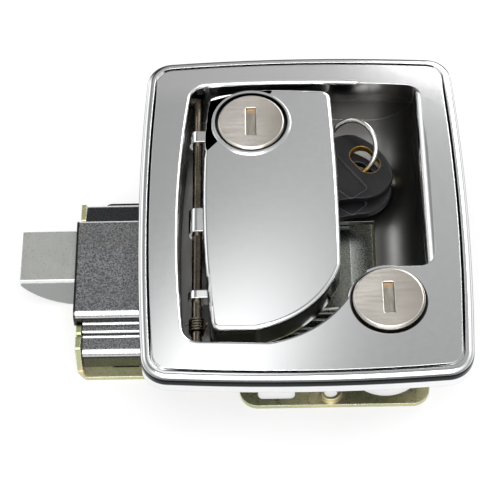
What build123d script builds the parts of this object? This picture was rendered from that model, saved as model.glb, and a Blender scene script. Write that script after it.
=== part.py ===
from build123d import *
import math
import os

# Trailer entry door latch, lying on its back: +X runs away from the bolt, +Y up the door,
# +Z out of the face plate. The origin is on the rear plate's back face, behind the middle
# of the face plate. All sizes are in millimetres and all angles in degrees.

# Face plate and pocket
BEZEL_W = 98.0
BEZEL_H = 117.0
MOUTH_TOP_MARGIN = 10.4
MOUTH_BOTTOM_MARGIN = 13.0
SIDE_BOW = 2.15
END_BOW = 1.8
BEZEL_CORNER = 8.0
BEZEL_WALL = 2.2
BEZEL_EDGE_R = 1.9
FACE_Z = 35.5
SKIRT_D = 6.5
RIM_W = 2.5
RIM_GROOVE = 0.8
POCKET_WALL = 2.0
POCKET_EDGE_R = 0.9
FLOOR_TOP = 17.0
FLOOR_T = 1.6
SCOOP_FOOT_X = 22.0
SCOOP_LIP_X = 35.4
SCOOP_LIP_DROP = 3.2
LEFT_FLOOR_X = -28.0
WINDOW_TOP_Y = 8.0

# Paddle
PADDLE_DEPTH = 9.0
PADDLE_WALL = 2.0
PADDLE_FACE_T = 2.2
PADDLE_EDGE_R = 1.2
PADDLE_TOP_GAP = 2.2
PADDLE_FOOT_GAP = 4.3
CORNER_SLOPE = 12.0

# Paddle hinge
PIN_X = -31.7
PIN_DROP = 7.5
PIN_R = 1.5
BARREL_R = 2.6
RUNNING = 0.06
FIT = 0.1
SEAT_GAP = 0.25

# Key locks
LOCK_CAP_R = 10.45
LOCK_BODY_R = 9.3
LOCK_STEM_R = 6.5
LOCK_WELL_R = 11.1
LOCK_RING_R = 12.1
LOCK_SEAT_DROP = 2.1
LOCK_FLANGE_R = 10.7
LOCK_FLANGE_T = 0.6
KEY_SLOT_W = 3.2
KEY_SLOT_H = 10.5
SHUTTER_T = 0.5
SHUTTER_DEPTH = 0.7
SHUTTER_GAP = 0.2
CAM_T = 2.0
TANG = 5.0
CLIP_T = 1.2
CLIP_GROOVE = 0.8
CLIP_W = 1.4
PADDLE_LOCK_X = -15.1
PADDLE_LOCK_Y = BEZEL_H / 2 - 25.7
PADDLE_CAP_PROUD = 0.8
PADDLE_RING_PROUD = 0.6
PADDLE_LOCK_END_Z = 20.6
PADDLE_CAM_R = 13.2
DEADBOLT_LOCK_X = 23.9
DEADBOLT_LOCK_Y = 26.1 - BEZEL_H / 2
DEADBOLT_CAP_PROUD = 1.9
DEADBOLT_LOCK_END_Z = 7.3
CRANK_R = 8.0
CRANK_PIN_R = 1.6
CRANK_START = 45.0

# Chassis
PLATE_T = 1.6
SHEET_T = 1.5
PLATE_RIGHT_X = 37.0
PLATE_LEFT_X = -19.8
PLATE_HALF_H = BEZEL_H / 2 - 11.1
PLATE_CORNER = 5.5
FLANGE_X = -68.7
FLANGE_T = 1.6
ARM_BOTTOM_Y = -36.6
ARM_TOP_Y = 26.5
HOUSING_LEFT_X = -69.4
SHOULDER_LEFT_X = -66.8
HOUSING_RIGHT_X = 21.6
RAMP_X = 14.5
RAMP_DROP = 3.1
SHOULDER_RIGHT_X = 12.5
BOX_TOP_Z = 15.1
BOX_BOTTOM_Y = -23.2
BOX_TOP_Y = 12.2
STEP_Z = 11.0
STEP_Y = -26.6
SHOULDER_Z = 9.0
SHOULDER_Y = -33.0
UPPER_SHOULDER_Y = 20.9
BEND_R = 2.2
RIVET_R = 1.5
RIVET_HEAD_R = 2.8
RIVET_HEAD_H = 1.1
SCREW_R = 1.4
SCREW_HEAD_R = 2.8
SCREW_L = 9.0
POST_R = 3.2
LOCK_HOLE_R = 12.2
COLLAR_X = 7.4
COLLAR_Y = PLATE_HALF_H - 4.0
COLLAR_HOLE_R = 2.1
COLLAR_R = 3.3
COLLAR_H = 1.5

# Latch bolt and its slide
BOLT_W = 19.0
BOLT_FRONT_Z = 13.1
BOLT_BACK_Z = 0.1
BOLT_TIP_X = -86.2
BOLT_TRAVEL = 13.2
BOLT_BLOCK_END_X = -57.0
BOLT_LEDGE = 8.0
BOLT_TIP_T = 2.0
BOLT_RAMP_L = 15.0
GUIDE_GAP = 0.3
SLIDE_T = 2.2
SLIDE_W = 14.0
ARM_X = -25.0
ARM_T = 3.0
ARM_W = 7.0
ARM_TIP_Z = 2.0
LOST_MOTION = 1.3
LUG_T = 2.5
LUG_TOP_Z = 13.2
BOLT_SPRING_Y = -12.3
BOLT_SPRING_Z = 7.5
BOLT_SPRING_R = 2.9
BOLT_SPRING_WIRE = 0.8
BOLT_SPRING_TURNS = 9
SPRING_TAB_X = -24.0

# Deadbolt
DEADBOLT_Y = -28.0
DEADBOLT_W = 6.4
DEADBOLT_T = 5.2
DEADBOLT_BAR_W = 4.0
DEADBOLT_BAR_T = 2.1
DEADBOLT_TIP_L = 17.0
BRIDGE_X = -14.0
BRIDGE_L = 8.0
BRIDGE_T = 1.0

# Paddle return spring
PADDLE_SPRING_Y = -38.0
PADDLE_SPRING_WIRE = 0.7
PADDLE_SPRING_TURNS = 5

# Keys and ring
KEY_HEAD_W = 25.5
KEY_HEAD_L = 24.0
KEY_HEAD_T = 2.4
KEY_NECK_W = 12.0
KEY_HOLE_W = 7.0
KEY_HOLE_H = 11.0
KEY_RIM = 2.4
KEY_BLADE_W = 7.6
KEY_BLADE_T = 1.8
KEY_BLADE_L = 25.0
KEY_PANEL_T = 0.5
KEY_ROOT_L = 3.4
UPPER_KEY_ANGLE = 36.0
LOWER_KEY_ANGLE = 41.0
RING_ANGLE = 41.0
RING_R = 8.6
RING_WIRE_R = 0.8
RING_TILT = 45.0
RING_X = 15.95
RING_Y = 31.0

SEAT_Z = FACE_Z - SKIRT_D
PIN_Z = FACE_Z - PIN_DROP
SEAT_RING_Z = FACE_Z - LOCK_SEAT_DROP
PADDLE_BACK_Z = FACE_Z - PADDLE_DEPTH
FLOOR_Z = FLOOR_TOP - FLOOR_T
BOSS_END_Z = FLOOR_Z
CAP_GAP = 0.1
POSTS = [(-31.5, BEZEL_H / 2 - 20.5), (31.0, BEZEL_H / 2 - 20.5), (-31.5, 21.0 - BEZEL_H / 2), (31.0, -13.0)]


def box(x0, x1, y0, y1, z0, z1):
    return Pos((x0 + x1) / 2, (y0 + y1) / 2, (z0 + z1) / 2) * Box(x1 - x0, y1 - y0, z1 - z0)


def rod_z(x, y, radius, z0, z1):
    return Pos(x, y, (z0 + z1) / 2) * Cylinder(radius, z1 - z0)


def rod_y(x, z, radius, y0, y1):
    return Pos(x, (y0 + y1) / 2, z) * Rot(90, 0, 0) * Cylinder(radius, y1 - y0)


def prism_z(face, z0, z1):
    return Pos(0, 0, z0) * extrude(face, z1 - z0)


def prism_y(face, y0, y1):
    """A face drawn as (x, z), carried along Y from y0 to y1."""
    return Pos(0, y1, 0) * Rot(90, 0, 0) * extrude(face, y1 - y0)


def prism_x(face, x0, x1):
    """A face drawn as (y, z), carried along X from x0 to x1."""
    return Pos(x0, 0, 0) * Plane.YZ.location * extrude(face, x1 - x0)


def polygon(*points):
    return make_face(Polyline(*points, close=True))


def corners_near(face, *points):
    """The face's vertices that lie closest to the given points."""
    found = []
    for point in points:
        target = Vector(*point)
        found.append(min(face.vertices(), key=lambda v: (v.center() - target).length))
    return found


def bezel_outline(inset):
    """The face plate's outline with gently bowed sides, drawn in by inset."""
    half_w = BEZEL_W / 2 - inset
    half_h = BEZEL_H / 2 - inset
    x = half_w - SIDE_BOW
    y = half_h - END_BOW
    face = make_face([
        ThreePointArc((x, -y), (half_w, 0), (x, y)),
        ThreePointArc((x, y), (0, half_h), (-x, y)),
        ThreePointArc((-x, y), (-half_w, 0), (-x, -y)),
        ThreePointArc((-x, -y), (0, -half_h), (x, -y)),
    ])
    return fillet(face.vertices(), max(BEZEL_CORNER - inset, 1.5))


def opening_outline(grow):
    """The pocket's mouth: bowed sides, and a lower right corner that gives way to the lock."""
    ring = LOCK_RING_R - grow
    lock_x = DEADBOLT_LOCK_X
    lock_y = DEADBOLT_LOCK_Y
    top = BEZEL_H / 2 - MOUTH_TOP_MARGIN + grow
    bottom = MOUTH_BOTTOM_MARGIN - BEZEL_H / 2 - grow
    top_left = (-33.2 - grow, top - 0.8)
    top_right = (37.1 + grow, top - 1.8)
    step_y = lock_y + ring * math.sin(math.radians(76))
    boss_start = (lock_x + ring * math.cos(math.radians(76)), step_y)
    boss_top = (lock_x + ring * math.cos(math.radians(125)), lock_y + ring * math.sin(math.radians(125)))
    boss_end = (lock_x - ring * math.cos(math.radians(8)), lock_y + ring * math.sin(math.radians(8)))
    foot = (-11.0, bottom)
    bottom_left = (-35.0 - grow, bottom + 0.9)
    face = make_face([
        ThreePointArc(bottom_left, (-37.1 - grow, -3.0), top_left),
        ThreePointArc(top_left, (0.2, top), top_right),
        ThreePointArc(top_right, (38.5 + grow, 13.7), (38.0 + grow, step_y)),
        Line((38.0 + grow, step_y), boss_start),
        ThreePointArc(boss_start, boss_top, boss_end),
        ThreePointArc(boss_end, (4.4 + grow * 0.7, bottom + 6.5 + grow * 0.3), foot),
        Line(foot, bottom_left),
    ])
    sharp = corners_near(face, bottom_left, top_left, top_right, (38.0 + grow, step_y))
    return fillet(sharp, 5.0 + grow)


def scoop_curve_face(shift):
    """The side of the scoop away from its wall, as (x, z), moved out to the right by shift."""
    lip = (SCOOP_LIP_X + shift, FACE_Z - SCOOP_LIP_DROP)
    foot = (SCOOP_FOOT_X + shift, FLOOR_TOP - shift)
    middle_angle = math.radians(45)
    bulge = (
        foot[0] + (lip[0] - foot[0]) * math.cos(middle_angle),
        lip[1] - (lip[1] - foot[1]) * math.sin(middle_angle),
    )
    roll_top = (lip[0] + SCOOP_LIP_DROP, FACE_Z)
    roll_bulge = (
        lip[0] + SCOOP_LIP_DROP * (1 - math.cos(middle_angle)),
        lip[1] + SCOOP_LIP_DROP * math.sin(middle_angle),
    )
    far = -2 * BEZEL_W
    above = FACE_Z + 10
    return make_face([
        Line((far, foot[1]), foot),
        ThreePointArc(foot, bulge, lip),
        ThreePointArc(lip, roll_bulge, roll_top),
        Polyline(roll_top, (roll_top[0], above), (far, above), (far, foot[1])),
    ])


def make_bezel():
    """Cast face plate: flanged rim, pocket walls, finger scoop, lock boss and screw posts."""
    half_h = BEZEL_H / 2
    opening = opening_outline(0)
    wall_outline = opening_outline(POCKET_WALL)
    plate = prism_z(bezel_outline(0), SEAT_Z, FACE_Z)
    plate = fillet(plate.faces().sort_by(Axis.Z)[-1].edges(), BEZEL_EDGE_R)
    groove = bezel_outline(RIM_W) - bezel_outline(RIM_W + RIM_GROOVE)
    plate -= prism_z(groove, FACE_Z - RIM_GROOVE, FACE_Z + 1)
    plate -= prism_z(bezel_outline(BEZEL_WALL), SEAT_Z - 1, FACE_Z - BEZEL_WALL)
    plate -= prism_z(opening, SEAT_Z - 1, FACE_Z + 1)
    mouth = plate.faces().filter_by(Axis.Z).sort_by(Axis.Z)[-1].inner_wires().sort_by(SortBy.LENGTH)[-1]
    plate = fillet(mouth.edges(), POCKET_EDGE_R)
    below_face = FACE_Z - BEZEL_WALL + 0.5
    tub = prism_z(wall_outline, FLOOR_Z, below_face)
    right_part = box(SCOOP_FOOT_X - 4, BEZEL_W / 2 - 6, DEADBOLT_LOCK_Y + 9, half_h - 8, FLOOR_Z, FACE_Z)
    tub += prism_z(wall_outline, FLOOR_Z, FACE_Z) & right_part
    outside = box(0, BEZEL_W, -half_h, half_h, FLOOR_Z - 5, FACE_Z - 3.5)
    outside -= prism_y(scoop_curve_face(POCKET_WALL), -half_h, half_h)
    tub -= outside
    boss = rod_z(DEADBOLT_LOCK_X, DEADBOLT_LOCK_Y, LOCK_RING_R, BOSS_END_Z, below_face)
    posts = [rod_z(x, y, POST_R, PLATE_T, FLOOR_TOP + (6 if x > 0 else 0)) for x, y in POSTS]
    cavity = prism_z(opening, FLOOR_TOP, FACE_Z + 1)
    cavity &= prism_y(scoop_curve_face(0), -half_h, half_h)
    window = box(LEFT_FLOOR_X, SCOOP_FOOT_X, -half_h, WINDOW_TOP_Y, FLOOR_Z - 1, FLOOR_TOP + 1)
    window &= prism_z(opening, FLOOR_Z - 1, FLOOR_TOP + 1)
    body = plate + tub + boss + posts[0] + posts[1] + posts[2] + posts[3]
    body -= cavity
    body -= window
    keeper_z = PADDLE_LOCK_END_Z + SEAT_GAP
    keeper_y = BEZEL_H / 2 - MOUTH_TOP_MARGIN - 3.9
    keeper = box(PADDLE_LOCK_X - 5, PADDLE_LOCK_X + 9, keeper_y, keeper_y + 4.8, keeper_z, keeper_z + 2.0)
    body += keeper
    body -= rod_z(DEADBOLT_LOCK_X, DEADBOLT_LOCK_Y, LOCK_BODY_R + FIT, BOSS_END_Z - 1, FACE_Z)
    body -= rod_z(DEADBOLT_LOCK_X, DEADBOLT_LOCK_Y, LOCK_WELL_R, SEAT_RING_Z, FACE_Z + 1)
    body -= rod_y(PIN_X, PIN_Z, PIN_R + RUNNING, pin_end_y(-1) - 0.2, pin_end_y(1) + 0.2)
    for x, y in POSTS:
        body -= rod_z(x, y, SCREW_R + 0.02, PLATE_T - 1, PLATE_T + SCREW_L)
    return body


def make_gasket():
    """Foam ring that fills the hollow behind the face plate's rim."""
    ring = bezel_outline(BEZEL_WALL + 0.3) - bezel_outline(BEZEL_WALL + 4.3)
    return prism_z(ring, SEAT_Z + 0.1, FACE_Z - BEZEL_WALL - SEAT_GAP)


def paddle_outline(inset):
    """The paddle's plan: straight top, bowed left side, and a sweep past the lower lock."""
    top = BEZEL_H / 2 - MOUTH_TOP_MARGIN - PADDLE_TOP_GAP - inset
    foot = MOUTH_BOTTOM_MARGIN - BEZEL_H / 2 + PADDLE_FOOT_GAP + inset
    sweep = DEADBOLT_LOCK_Y + 12.9
    face = make_face([
        ThreePointArc((-27.0 + inset, foot), (-29.9 + inset, 4.0), (-27.9 + inset, top - 0.6)),
        ThreePointArc((-27.9 + inset, top - 0.6), (-9.0, top), (9.5 - inset, top - 1.0)),
        ThreePointArc((9.5 - inset, top - 1.0), (10.7 - inset, 8.0), (10.6 - inset, sweep)),
        ThreePointArc((10.6 - inset, sweep), (0.6 - inset * 0.7, foot + 7.0 - inset * 0.3), (-14.5, foot)),
        Line((-14.5, foot), (-27.0 + inset, foot)),
    ])
    tight = corners_near(face, (-27.9, top - 0.6), (9.5, top - 1.0), (-27.0, foot))
    face = fillet(tight, 3.0 - inset / 2)
    return fillet(corners_near(face, (10.6, sweep)), 6.0)


def corner_slope(drop):
    """Half space above the plane that falls away to the paddle's upper left corner."""
    tilt = Rot(0, 0, -42) * Rot(0, -CORNER_SLOPE, 0)
    return Pos(-19.0, PADDLE_LOCK_Y + 0.2, FACE_Z - drop) * tilt * Pos(-40, 0, 10) * Box(80, 120, 20)


def hinge_barrel(y0, y1):
    """Barrel round the pin with a web that runs into the paddle's left wall."""
    barrel = rod_y(PIN_X, PIN_Z, BARREL_R, y0, y1)
    web = box(PIN_X, -27.5, y0, y1, PADDLE_BACK_Z, PIN_Z + BARREL_R)
    return barrel + web


def make_paddle():
    """Cast cup with a raised lock ring and three barrels on its left wall."""
    shell = prism_z(paddle_outline(0), PADDLE_BACK_Z, FACE_Z)
    shell = fillet(shell.faces().sort_by(Axis.Z)[-1].edges(), PADDLE_EDGE_R)
    shell -= corner_slope(0)
    hollow = prism_z(paddle_outline(PADDLE_WALL), PADDLE_BACK_Z - 1, FACE_Z - PADDLE_FACE_T)
    hollow -= corner_slope(PADDLE_FACE_T + 0.3)
    shell -= hollow
    lock = (PADDLE_LOCK_X, PADDLE_LOCK_Y)
    shell += rod_z(*lock, LOCK_RING_R, PADDLE_BACK_Z + 0.8, FACE_Z + PADDLE_RING_PROUD)
    shell += hinge_barrel(-3.7, 4.7)
    shell += hinge_barrel(-27.2, -24.6)
    shell += hinge_barrel(29.6, 33.6)
    shell -= rod_z(*lock, LOCK_BODY_R + FIT, PADDLE_BACK_Z - 1, FACE_Z + 2)
    shell -= rod_z(*lock, LOCK_WELL_R, SEAT_RING_Z, FACE_Z + 2)
    shell -= rod_y(PIN_X, PIN_Z, PIN_R + RUNNING, -45, 47)
    spring_end = PADDLE_SPRING_Y + 1.5 * PADDLE_SPRING_TURNS * PADDLE_SPRING_WIRE
    shell -= rod_y(PIN_X, PIN_Z, PIN_R + 1.4, PADDLE_SPRING_Y - 1, spring_end)
    return shell


def pin_end_y(side):
    """Where the hinge pin ends inside the pocket's lower (-1) or upper (1) wall."""
    margin = MOUTH_TOP_MARGIN if side > 0 else MOUTH_BOTTOM_MARGIN
    return side * (BEZEL_H / 2 - margin + 0.7)


def make_hinge_pin():
    pin = rod_y(PIN_X, PIN_Z, PIN_R, pin_end_y(-1), pin_end_y(1))
    return chamfer(pin.edges().filter_by(GeomType.CIRCLE), 0.3)


def make_paddle_arm():
    """Cranked steel arm: a foot screwed inside the paddle and a round tip behind the lug."""
    ceiling = FACE_Z - PADDLE_FACE_T
    left = ARM_X - ARM_T / 2
    right = ARM_X + ARM_T / 2
    tip_centre_z = ARM_TIP_Z + ARM_T / 2
    profile = polygon(
        (left, tip_centre_z), (right, tip_centre_z), (right, ceiling - 2.2),
        (-9.0, ceiling - 2.2), (-9.0, ceiling - 0.05), (left, ceiling - 0.05),
    )
    profile = fillet(corners_near(profile, (right, ceiling - 2.2)), 1.5)
    profile += Pos(ARM_X, tip_centre_z) * Circle(ARM_T / 2)
    arm = prism_y(profile, -ARM_W / 2, ARM_W / 2)
    for x in arm_screw_places():
        arm -= rod_z(x, 0, SCREW_R + 0.1, ceiling - 4, ceiling + 1)
    return arm


def arm_screw_places():
    return [-19.0, -12.5]


def make_arm_screws():
    """Pan head screws that hold the arm's foot to the back of the paddle's face."""
    ceiling = FACE_Z - PADDLE_FACE_T
    screws = []
    for x in arm_screw_places():
        head = rod_z(x, 0, SCREW_HEAD_R - 0.3, ceiling - 2.25 - 1.6, ceiling - 2.25)
        head = fillet(head.faces().sort_by(Axis.Z)[0].edges(), 0.7)
        screws.append(head + rod_z(x, 0, SCREW_R, ceiling - 2.3, ceiling - 0.05))
    return Compound(children=screws)


def make_lock_body(x, y, end_z):
    """Lock cylinder: a flanged barrel with a retaining groove and a running bore."""
    body = rod_z(x, y, LOCK_BODY_R, end_z, SEAT_RING_Z + LOCK_FLANGE_T)
    body += rod_z(x, y, LOCK_FLANGE_R, SEAT_RING_Z, SEAT_RING_Z + LOCK_FLANGE_T)
    body -= rod_z(x, y, LOCK_STEM_R + RUNNING, end_z - 1, FACE_Z + 1)
    return body


def clip_groove(x, y, top_z):
    ring = rod_z(x, y, LOCK_BODY_R + 1, top_z - CLIP_T - 0.1, top_z)
    return ring - rod_z(x, y, LOCK_BODY_R - CLIP_GROOVE, top_z - CLIP_T - 1, top_z + 1)


def make_lock_clip(x, y, top_z):
    """Open spring clip that snaps into the lock body's groove."""
    clip = rod_z(x, y, LOCK_BODY_R + CLIP_W, top_z - CLIP_T, top_z - 0.02)
    clip -= rod_z(x, y, LOCK_BODY_R - CLIP_GROOVE + 0.05, top_z - CLIP_T - 1, top_z + 1)
    gap = box(x + 2, x + 20, y - 5.5, y + 5.5, top_z - CLIP_T - 1, top_z + 1)
    return clip - gap


def key_slot(x, y, width, height, z0, z1):
    return prism_z(Pos(x, y) * RectangleRounded(width, height, 0.45), z0, z1)


def make_lock_plug(x, y, proud, end_z):
    """Turning plug: bevelled cap with a stepped key slot, stem, square tang and screw hole."""
    cap_top = FACE_Z + proud
    cap_bottom = SEAT_RING_Z + LOCK_FLANGE_T + CAP_GAP
    cap = rod_z(x, y, LOCK_CAP_R, cap_bottom, cap_top)
    cap = chamfer(cap.faces().sort_by(Axis.Z)[-1].edges(), 0.6)
    plug = cap + rod_z(x, y, LOCK_STEM_R, end_z, cap_bottom + 0.5)
    plug += box(x - TANG / 2, x + TANG / 2, y - TANG / 2, y + TANG / 2, end_z - CAM_T, end_z + 0.5)
    ledge_z = cap_top - SHUTTER_DEPTH - SHUTTER_T
    plug -= key_slot(x, y, KEY_SLOT_W, KEY_SLOT_H, ledge_z, cap_top + 1)
    plug -= key_slot(x, y, KEY_SLOT_W - 0.8, KEY_SLOT_H - 1.0, cap_top - 9, cap_top)
    return plug


def make_shutter(x, y, proud):
    """Dust shutter that rests on the step inside the key slot."""
    ledge_z = FACE_Z + proud - SHUTTER_DEPTH - SHUTTER_T
    return key_slot(x, y, KEY_SLOT_W - 2 * SHUTTER_GAP, KEY_SLOT_H - 2 * SHUTTER_GAP,
                    ledge_z + 0.02, ledge_z + SHUTTER_T)


def tang_hole(x, y, z0, z1):
    half = TANG / 2 + 0.05
    return box(x - half, x + half, y - half, y + half, z0, z1)


def make_paddle_cam():
    """Finger that turns under the keeper in the pocket's top wall."""
    top = PADDLE_LOCK_END_Z - 0.1
    hub = rod_z(0, 0, LOCK_STEM_R - 0.6, top - CAM_T, top)
    finger = prism_z(Pos(PADDLE_CAM_R / 2, 0) * SlotOverall(PADDLE_CAM_R + 6, 6.0), top - CAM_T, top)
    finger &= rod_z(0, 0, PADDLE_CAM_R, top - CAM_T, top)
    cam = Pos(PADDLE_LOCK_X, PADDLE_LOCK_Y) * (hub + finger)
    return cam - tang_hole(PADDLE_LOCK_X, PADDLE_LOCK_Y, top - 5, top + 1)


def make_deadbolt_cam():
    """Crank with a drive pin that works in the deadbolt bar's slot."""
    top = DEADBOLT_LOCK_END_Z - 0.1
    hub = rod_z(0, 0, LOCK_STEM_R - 0.6, top - CAM_T, top)
    web = prism_z(Rot(0, 0, CRANK_START) * Pos(CRANK_R / 2, 0) * SlotOverall(CRANK_R + 5.4, 5.4),
                  top - CAM_T, top)
    angle = math.radians(CRANK_START)
    pin = rod_z(CRANK_R * math.cos(angle), CRANK_R * math.sin(angle), CRANK_PIN_R,
                PLATE_T + GUIDE_GAP + 0.1, top - CAM_T + 0.5)
    cam = Pos(DEADBOLT_LOCK_X, DEADBOLT_LOCK_Y) * (hub + web + pin)
    return cam - tang_hole(DEADBOLT_LOCK_X, DEADBOLT_LOCK_Y, top - 5, top + 1)


def make_cam_screw(x, y, end_z):
    """Low head under the cam that keeps it on the tang."""
    head_top = end_z - 0.1 - CAM_T - 0.02
    head = rod_z(x, y, 2.6, head_top - 1.0, head_top)
    return fillet(head.faces().sort_by(Axis.Z)[0].edges(), 0.4)


def housing_profile():
    """Stepped cross-section of the pressed bolt housing as (y, z), open below the plate."""
    below = -6.0
    face = polygon(
        (SHOULDER_Y, below), (SHOULDER_Y, SHOULDER_Z), (STEP_Y, SHOULDER_Z), (STEP_Y, STEP_Z),
        (BOX_BOTTOM_Y, STEP_Z), (BOX_BOTTOM_Y, BOX_TOP_Z), (BOX_TOP_Y, BOX_TOP_Z),
        (BOX_TOP_Y, STEP_Z), (UPPER_SHOULDER_Y, STEP_Z), (UPPER_SHOULDER_Y, below),
    )
    wide = corners_near(face, (BOX_BOTTOM_Y, BOX_TOP_Z), (SHOULDER_Y, SHOULDER_Z),
                        (BOX_TOP_Y, BOX_TOP_Z), (UPPER_SHOULDER_Y, STEP_Z))
    face = fillet(wide, BEND_R)
    tight = corners_near(face, (STEP_Y, STEP_Z), (STEP_Y, SHOULDER_Z), (BOX_BOTTOM_Y, STEP_Z),
                         (BOX_TOP_Y, STEP_Z))
    return fillet(tight, 0.8)


def ramp_cut(drop):
    """What lies above the housing's sloping right end."""
    slope_end = (HOUSING_RIGHT_X + 2, BOX_TOP_Z - RAMP_DROP * (HOUSING_RIGHT_X + 2 - RAMP_X)
                 / (HOUSING_RIGHT_X - RAMP_X) - drop)
    face = polygon((RAMP_X, BOX_TOP_Z - drop), slope_end, (slope_end[0], 30), (RAMP_X, 30))
    return prism_y(face, -60, 60)


def housing_tab_places():
    return [(-58.0, -50.0), (-28.0, -20.0)]


def housing_rivet_places():
    return [(-44.0, 23.7), (-24.0, 23.7), (2.0, 23.7)]


def make_housing():
    """Pressed bolt housing: folded strip with a box for the bolt and shoulders each side."""
    outer = housing_profile()
    inner = offset(outer, -SHEET_T)
    solid = prism_x(outer, HOUSING_LEFT_X, HOUSING_RIGHT_X) - ramp_cut(0)
    core = prism_x(inner, HOUSING_LEFT_X - 5, HOUSING_RIGHT_X - SHEET_T) - ramp_cut(SHEET_T)
    body = solid - core
    body -= box(-90, 40, -60, 60, -20, PLATE_T)
    top = BOX_TOP_Z + 1
    body -= box(-90, SHOULDER_LEFT_X, -60, BOX_BOTTOM_Y, 0, top)
    body -= box(-90, SHOULDER_LEFT_X, BOX_TOP_Y, 60, 0, top)
    body -= box(SHOULDER_RIGHT_X, 40, -60, BOX_BOTTOM_Y, 0, top)
    body -= box(SHOULDER_RIGHT_X, 40, BOX_TOP_Y, 60, 0, top)
    body -= rod_z(DEADBOLT_LOCK_X, DEADBOLT_LOCK_Y, LOCK_BODY_R + CLIP_W + 0.5, 0, top)
    body -= box(ARM_X - 2.3, -9.3, -ARM_W / 2 - 0.8, ARM_W / 2 + 0.8, SHOULDER_Z, top)
    head_top_z = PLATE_T + GUIDE_GAP + DEADBOLT_BAR_T + 0.6
    body -= box(RAMP_X, HOUSING_RIGHT_X + 1, BOX_BOTTOM_Y - 1, deadbolt_head_y() + 0.6, 0, head_top_z)
    foot = box(-62, 8, UPPER_SHOULDER_Y - SHEET_T, ARM_TOP_Y - 0.3, PLATE_T, PLATE_T + SHEET_T)
    foot = fillet(foot.edges().filter_by(Axis.Z).group_by(Axis.Y)[-1], 2.0)
    body += foot
    for x, y in housing_rivet_places():
        body -= rod_z(x, y, RIVET_R + 0.05, 0, 5)
    for x0, x1 in housing_tab_places():
        body += box(x0, x1, SHOULDER_Y, SHOULDER_Y + SHEET_T, 0.1, PLATE_T + 1)
    return body


def make_rivet(x, y, z0, seat_z):
    """Domed rivet whose head stands on seat_z and whose shank ends flush at z0."""
    dome_r = (RIVET_HEAD_R ** 2 + RIVET_HEAD_H ** 2) / (2 * RIVET_HEAD_H)
    dome = Pos(x, y, seat_z + RIVET_HEAD_H - dome_r) * Sphere(dome_r)
    head = dome & rod_z(x, y, RIVET_HEAD_R + 1, seat_z + 0.01, seat_z + 3)
    return head + rod_z(x, y, RIVET_R, z0, seat_z + 0.3)


def make_housing_rivets():
    return Compound(children=[make_rivet(x, y, 0.05, PLATE_T + SHEET_T) for x, y in housing_rivet_places()])


def bridge_rivet_places():
    offset_y = DEADBOLT_BAR_W / 2 + GUIDE_GAP + BRIDGE_T + RIVET_HEAD_R + 0.4
    return [(BRIDGE_X, DEADBOLT_Y + offset_y)]


def plate_outline():
    face = polygon(
        (PLATE_LEFT_X, -PLATE_HALF_H), (PLATE_RIGHT_X, -PLATE_HALF_H), (PLATE_RIGHT_X, PLATE_HALF_H),
        (-36.0, PLATE_HALF_H), (-36.0, ARM_TOP_Y), (-63.5, ARM_TOP_Y),
        (FLANGE_X, UPPER_SHOULDER_Y), (FLANGE_X, ARM_BOTTOM_Y + 2.2), (FLANGE_X + 2.6, ARM_BOTTOM_Y),
        (-36.0, ARM_BOTTOM_Y), (-36.0, -41.0), (PLATE_LEFT_X, -41.0),
    )
    round_ones = corners_near(
        face, (PLATE_LEFT_X, -PLATE_HALF_H), (PLATE_RIGHT_X, -PLATE_HALF_H),
        (PLATE_RIGHT_X, PLATE_HALF_H), (-36.0, PLATE_HALF_H))
    return fillet(round_ones, PLATE_CORNER)


def make_rear_plate():
    """Plated steel back plate with its left end turned up and a tab lanced up for the spring."""
    plate = prism_z(plate_outline(), 0, PLATE_T)
    bolt_y = BOLT_W / 2 + GUIDE_GAP
    flange_blank = prism_x(flange_blank_face(), FLANGE_X, FLANGE_X + FLANGE_T)
    plate += flange_blank
    corner = [e for e in plate.edges().filter_by(Axis.Y)
              if abs(e.center().X - FLANGE_X) < 0.01 and abs(e.center().Z) < 0.01]
    plate = fillet(corner, PLATE_T)
    bolt_end = BOLT_BLOCK_END_X + BOLT_LEDGE + BOLT_TRAVEL + 0.8
    plate -= box(FLANGE_X - 1, bolt_end, -bolt_y, bolt_y, -1, PLATE_T + 20)
    tip_y = DEADBOLT_W / 2 + GUIDE_GAP
    plate -= box(FLANGE_X - 1, FLANGE_X + FLANGE_T + 1, DEADBOLT_Y - tip_y, DEADBOLT_Y + tip_y,
                 PLATE_T, PLATE_T + GUIDE_GAP + DEADBOLT_T + GUIDE_GAP)
    spring_y = BOLT_SPRING_Y
    plate += box(SPRING_TAB_X, SPRING_TAB_X + PLATE_T, spring_y - 3.6, spring_y + 3.6, 0.2, 12.0)
    plate -= box(SPRING_TAB_X + PLATE_T, SPRING_TAB_X + PLATE_T + 11, spring_y - 4, spring_y + 4, -1, 3)
    plate -= rod_z(DEADBOLT_LOCK_X, DEADBOLT_LOCK_Y, LOCK_HOLE_R, -1, 3)
    slot = Pos(-8.8, -42.0) * RectangleRounded(11.0, 6.0, 1.4)
    plate -= prism_z(slot, -1, 3)
    for sign in (-1, 1):
        collar = rod_z(COLLAR_X, sign * COLLAR_Y, COLLAR_R, 0, PLATE_T + COLLAR_H)
        plate += fillet(collar.faces().sort_by(Axis.Z)[-1].edges(), 0.5)
        plate -= rod_z(COLLAR_X, sign * COLLAR_Y, COLLAR_HOLE_R, -1, 6)
    for x, y in POSTS:
        plate -= rod_z(x, y, SCREW_R + 0.1, -1, 3)
        sink = Cone(SCREW_HEAD_R + 0.2, SCREW_R + 0.1, PLATE_T - 0.1)
        plate -= Pos(x, y, (PLATE_T - 0.1) / 2) * sink
    for x, y in housing_rivet_places() + bridge_rivet_places():
        plate -= rod_z(x, y, RIVET_R + 0.05, -1, 3)
    for x0, x1 in housing_tab_places():
        plate -= box(x0 - 0.15, x1 + 0.15, SHOULDER_Y - 0.15, SHOULDER_Y + SHEET_T + 0.15, -1, 3)
    return plate


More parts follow.
